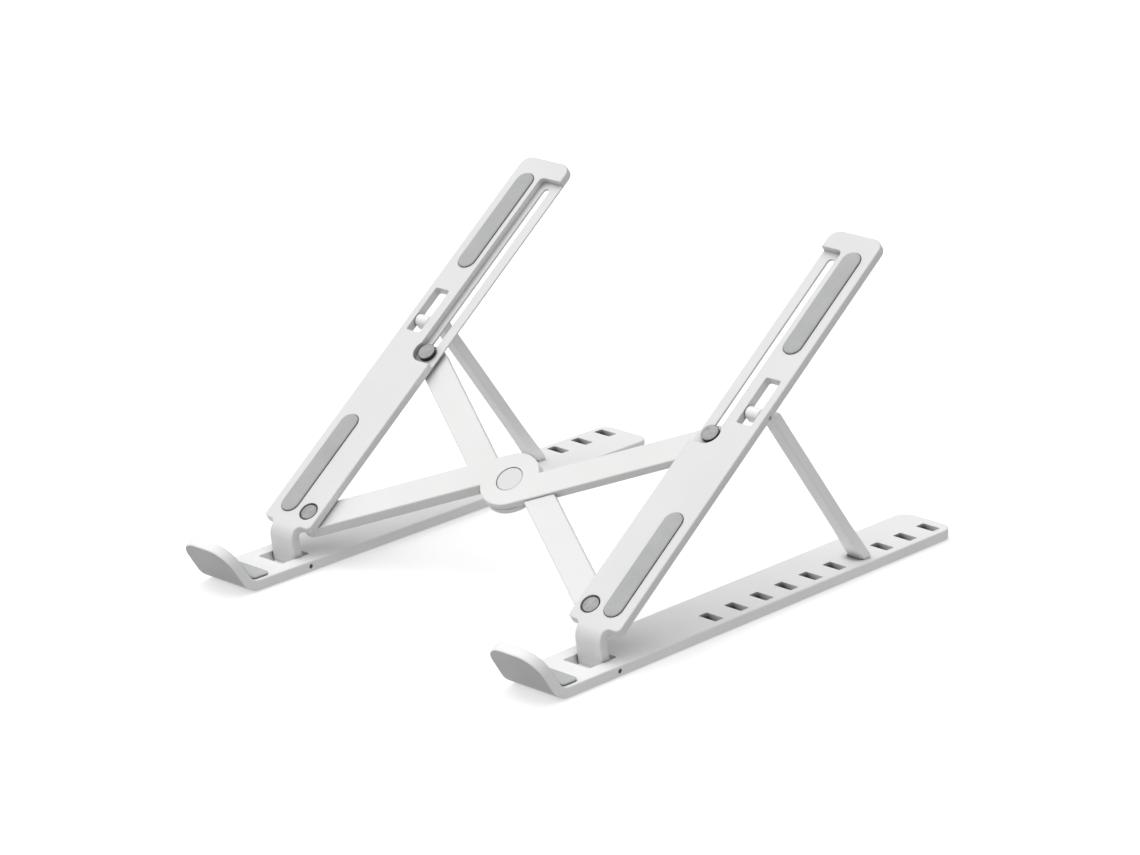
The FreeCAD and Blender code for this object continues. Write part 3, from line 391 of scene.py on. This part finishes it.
def skin(name, rings, material, body, node):
    """Close a stack of equal rings into one smooth piece that stands for a CAD node."""
    mesh = bmesh.new()
    loops = [[mesh.verts.new(point) for point in ring] for ring in rings]
    count = len(rings[0])
    for lower, upper in zip(loops, loops[1:]):
        for i in range(count):
            j = (i + 1) % count
            mesh.faces.new((lower[i], lower[j], upper[j], upper[i]))
    mesh.faces.new(list(reversed(loops[0])))
    mesh.faces.new(loops[-1])
    bmesh.ops.remove_doubles(mesh, verts=mesh.verts, dist=0.002 * MM)
    bmesh.ops.recalc_face_normals(mesh, faces=mesh.faces)
    data = bpy.data.meshes.new(name)
    mesh.to_mesh(data)
    mesh.free()
    for face in data.polygons:
        face.use_smooth = True
    piece = bpy.data.objects.new(name, data)
    bpy.context.scene.collection.objects.link(piece)
    paint(piece, material)
    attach(piece, body)
    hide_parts(node)
    return piece


def hull(points):
    """Convex outline of flat points, counter-clockwise."""
    points = sorted(set((round(x, 7), round(y, 7)) for x, y in points))

    def half(sequence):
        line = []
        for p in sequence:
            while len(line) > 1 and ((line[-1][0] - line[-2][0]) * (p[1] - line[-2][1])
                                     - (line[-1][1] - line[-2][1]) * (p[0] - line[-2][0])) <= 1e-12:
                line.pop()
            line.append(p)
        return line[:-1]

    return half(points) + half(reversed(points))


def evenly(outline, count):
    """The outline as a count of points at equal steps round it."""
    steps = [math.dist(a, b) for a, b in zip(outline, outline[1:] + outline[:1])]
    total = sum(steps)
    found = []
    index = 0
    walked = 0.0
    for k in range(count):
        target = total * k / count
        while walked + steps[index] < target:
            walked += steps[index]
            index += 1
        start = outline[index]
        end = outline[(index + 1) % len(outline)]
        part = (target - walked) / steps[index]
        found.append((start[0] + (end[0] - start[0]) * part,
                      start[1] + (end[1] - start[1]) * part))
    return found


def cushion(node, body, material, long_axis, normal, round_over, crown):
    """A slab from a CAD node's outline, with a rolled edge and a faint crown."""
    short_axis = normal.cross(long_axis)
    points = [v.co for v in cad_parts[node].data.vertices]
    flat = [(p.dot(long_axis), p.dot(short_axis)) for p in points]
    outline = evenly(hull(flat), 160)
    low = min(p.dot(normal) for p in points)
    high = max(p.dot(normal) for p in points)
    first = [min(p[k] for p in outline) for k in (0, 1)]
    last = [max(p[k] for p in outline) for k in (0, 1)]
    centre = [(first[k] + last[k]) / 2 for k in (0, 1)]
    half = [(last[k] - first[k]) / 2 for k in (0, 1)]
    reach = min(half)
    spine = [half[k] - reach for k in (0, 1)]

    def inset(point, depth):
        heart = [centre[k] + max(-spine[k], min(spine[k], point[k] - centre[k])) for k in (0, 1)]
        rest = 1 - depth / reach
        return [heart[k] + (point[k] - heart[k]) * rest for k in (0, 1)]

    def ring(depth, height):
        return [long_axis * x + short_axis * y + normal * height
                for x, y in (inset(p, depth) for p in outline)]

    shoulder = high - crown - round_over
    levels = [(0.15 * MM, low), (0.0, low + 0.15 * MM)]
    for step in range(9):
        turn = math.radians(90 * step / 8)
        levels.append((round_over * (1 - math.cos(turn)), shoulder + round_over * math.sin(turn)))
    for step in range(1, 9):
        part = step / 8.5
        levels.append((round_over + (reach - round_over) * part,
                       high - crown * (1 - part) ** 2))
    skin(node + "_soft", [ring(*level) for level in levels], material, body, node)


def section(half, top, roll):
    """Half-rounded strip: flat underneath, rolled at both edges, faintly crowned."""
    points = [(-half + 2 * half * k / 10, 0.0) for k in range(11)]
    roll = min(roll, top)
    for step in range(7):
        turn = math.radians(90 * step / 6)
        points.append((half - roll + roll * math.cos(turn), top - roll + roll * math.sin(turn)))
    for k in range(1, 16):
        points.append((half - roll - 2 * (half - roll) * k / 16, top))
    for step in range(7):
        turn = math.radians(90 + 90 * step / 6)
        points.append((-half + roll + roll * math.cos(turn), top - roll + roll * math.sin(turn)))
    return points


def hook_pad(side):
    """The lining that lies on the rail and climbs the lip, with rolled edges."""
    node = side + "_hook_pad"
    low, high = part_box(node)
    rail_low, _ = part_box(side + "_rail")
    middle_x = (low.x + high.x) / 2
    half_width = (high.x - low.x) / 2
    corner = Vector((0, middle(side + "_rail_pin").y - PIN_TO_BEND, rail_low.z))
    along_lip = Vector((0, -math.sin(LIP_LEAN), math.cos(LIP_LEAN)))
    off_lip = Vector((0, math.cos(LIP_LEAN), math.sin(LIP_LEAN)))
    bend = math.pi / 2 - LIP_LEAN
    inner_corner = corner + Vector((0, RAIL_THICK * math.tan(bend / 2), RAIL_THICK))
    tangent = BEND_INSIDE * math.tan(bend / 2)
    arc_start = inner_corner + Vector((0, tangent, 0))
    arc_centre = arc_start + UP * BEND_INSIDE
    lip_end = corner + along_lip * HOOK_CLIMB + off_lip * RAIL_THICK
    lip_start = arc_centre - off_lip * BEND_INSIDE

    path = []
    flat_length = high.y - arc_start.y
    for step in range(25):
        path.append((Vector((0, high.y - flat_length * step / 24, arc_start.z)), UP))
    for step in range(1, 13):
        turn = bend * step / 12
        outward = Vector((0, math.sin(turn), math.cos(turn)))
        path.append((arc_centre - outward * BEND_INSIDE, outward))
    climb = (lip_end - lip_start).length
    for step in range(1, 33):
        path.append((lip_start + along_lip * (climb * step / 32), off_lip))

    lengths = [0.0]
    for (here, _), (there, _) in zip(path, path[1:]):
        lengths.append(lengths[-1] + (there - here).length)
    total = lengths[-1]
    roll = 0.32 * MM

    def corner_loss(distance, radius):
        if distance >= radius:
            return 0.0
        return radius - math.sqrt(max(0.0, radius ** 2 - (radius - distance) ** 2))

    rings = []
    for (point, outward), walked in zip(path, lengths):
        to_end = min(walked, total - walked)
        half = half_width - max(corner_loss(walked, HOOK_BACK_ROUND),
                                corner_loss(total - walked, HOOK_FRONT_ROUND))
        top = HOOK_THICK - corner_loss(to_end, roll)
        ring = []
        for x, height in section(half, top, roll):
            ring.append(Vector((middle_x + x, point.y, point.z)) + outward * height)
        rings.append(ring)
    skin(node + "_soft", rings, hook_grey, side + "_rail", node)


for side in SIDES:
    hook_pad(side)
    for pad in ("upper_pad", "lower_pad"):
        cushion("%s_%s" % (side, pad), side + "_arm", grip_grey,
                ARM_ALONG, ARM_UP, round_over=0.45 * MM, crown=0.12 * MM)
    cushion(side + "_front_foot", side + "_rail", foot_grey,
            ACROSS, -UP, round_over=0.3 * MM, crown=0.05 * MM)
    cushion(side + "_rear_foot", side + "_rail", foot_grey,
            BACK, -UP, round_over=0.3 * MM, crown=0.05 * MM)


# ---------------------------------------------------------------- studio

def white_floor():
    """Pale seamless floor, with the faintest mottling."""
    s = Shader("studio_floor")
    tint = s.blend(s.spread(s.noise(3, 3), 0.3, 0.7), grey(0.955), grey(0.97))
    rough = s.spread(s.noise(40, 3), 0.3, 0.7, 0.85, 0.95)
    return s.finish(Base_Color=tint, Roughness=rough, Specular_IOR_Level=0.1,
                    Emission_Color=grey(1.0), Emission_Strength=0.28)


def disc(name, radius, height, material):
    mesh = bmesh.new()
    bmesh.ops.create_circle(mesh, cap_ends=True, segments=96, radius=radius)
    data = bpy.data.meshes.new(name)
    mesh.to_mesh(data)
    mesh.free()
    piece = bpy.data.objects.new(name, data)
    piece.location.z = height
    bpy.context.scene.collection.objects.link(piece)
    paint(piece, material)
    return piece


def sun(name, azimuth, elevation, strength, spread):
    """A broad soft light from a direction seen from the stand's middle."""
    lamp = bpy.data.lights.new(name, "SUN")
    lamp.energy = strength * math.pi
    lamp.angle = math.radians(spread)
    piece = bpy.data.objects.new(name, lamp)
    piece.rotation_euler = back_vector(azimuth, elevation).to_track_quat("Z", "Y").to_euler()
    bpy.context.scene.collection.objects.link(piece)


def back_vector(azimuth, elevation):
    a = math.radians(azimuth)
    e = math.radians(elevation)
    return Vector((math.sin(a) * math.cos(e), -math.cos(a) * math.cos(e), math.sin(e)))


# The floor neither shades nor tints the stand: world light and floor_bounce come from below.
floor = disc("floor", radius=30, height=0, material=white_floor())
floor.visible_diffuse = False
floor.visible_shadow = False

def white_room(light, backdrop):
    """Even white light all round, with a brighter white where the room itself is seen."""
    world = bpy.data.worlds.new("studio")
    world.use_nodes = True
    tree = world.node_tree
    lit = tree.nodes["Background"]
    lit.inputs["Color"].default_value = (1.0, 1.0, 1.0, 1.0)
    lit.inputs["Strength"].default_value = light
    seen = tree.nodes.new("ShaderNodeBackground")
    seen.inputs["Color"].default_value = (1.0, 1.0, 1.0, 1.0)
    seen.inputs["Strength"].default_value = backdrop
    paths = tree.nodes.new("ShaderNodeLightPath")
    mix = tree.nodes.new("ShaderNodeMixShader")
    tree.links.new(paths.outputs["Is Camera Ray"], mix.inputs[0])
    tree.links.new(lit.outputs["Background"], mix.inputs[1])
    tree.links.new(seen.outputs["Background"], mix.inputs[2])
    tree.links.new(mix.outputs[0], tree.nodes["World Output"].inputs["Surface"])
    return world


bpy.context.scene.world = white_room(light=0.31, backdrop=1.0)

sun("key_light", azimuth=5, elevation=70, strength=0.52, spread=100)
sun("left_light", azimuth=-75, elevation=48, strength=0.32, spread=90)
sun("right_light", azimuth=95, elevation=15, strength=0.03, spread=60)
sun("floor_bounce", azimuth=25, elevation=-30, strength=0.10, spread=100)

lens = bpy.data.cameras.new("camera")
lens.lens = 134.7
lens.sensor_width = 36
lens.sensor_fit = "HORIZONTAL"
lens.clip_end = 200
camera = bpy.data.objects.new("camera", lens)
camera.location = (1.0233, -1.1242, 0.5712)
camera.rotation_euler = back_vector(42.35, 18.78).to_track_quat("Z", "Y").to_euler()
bpy.context.scene.collection.objects.link(camera)
bpy.context.scene.camera = camera
bpy.context.scene.view_settings.view_transform = "Standard"
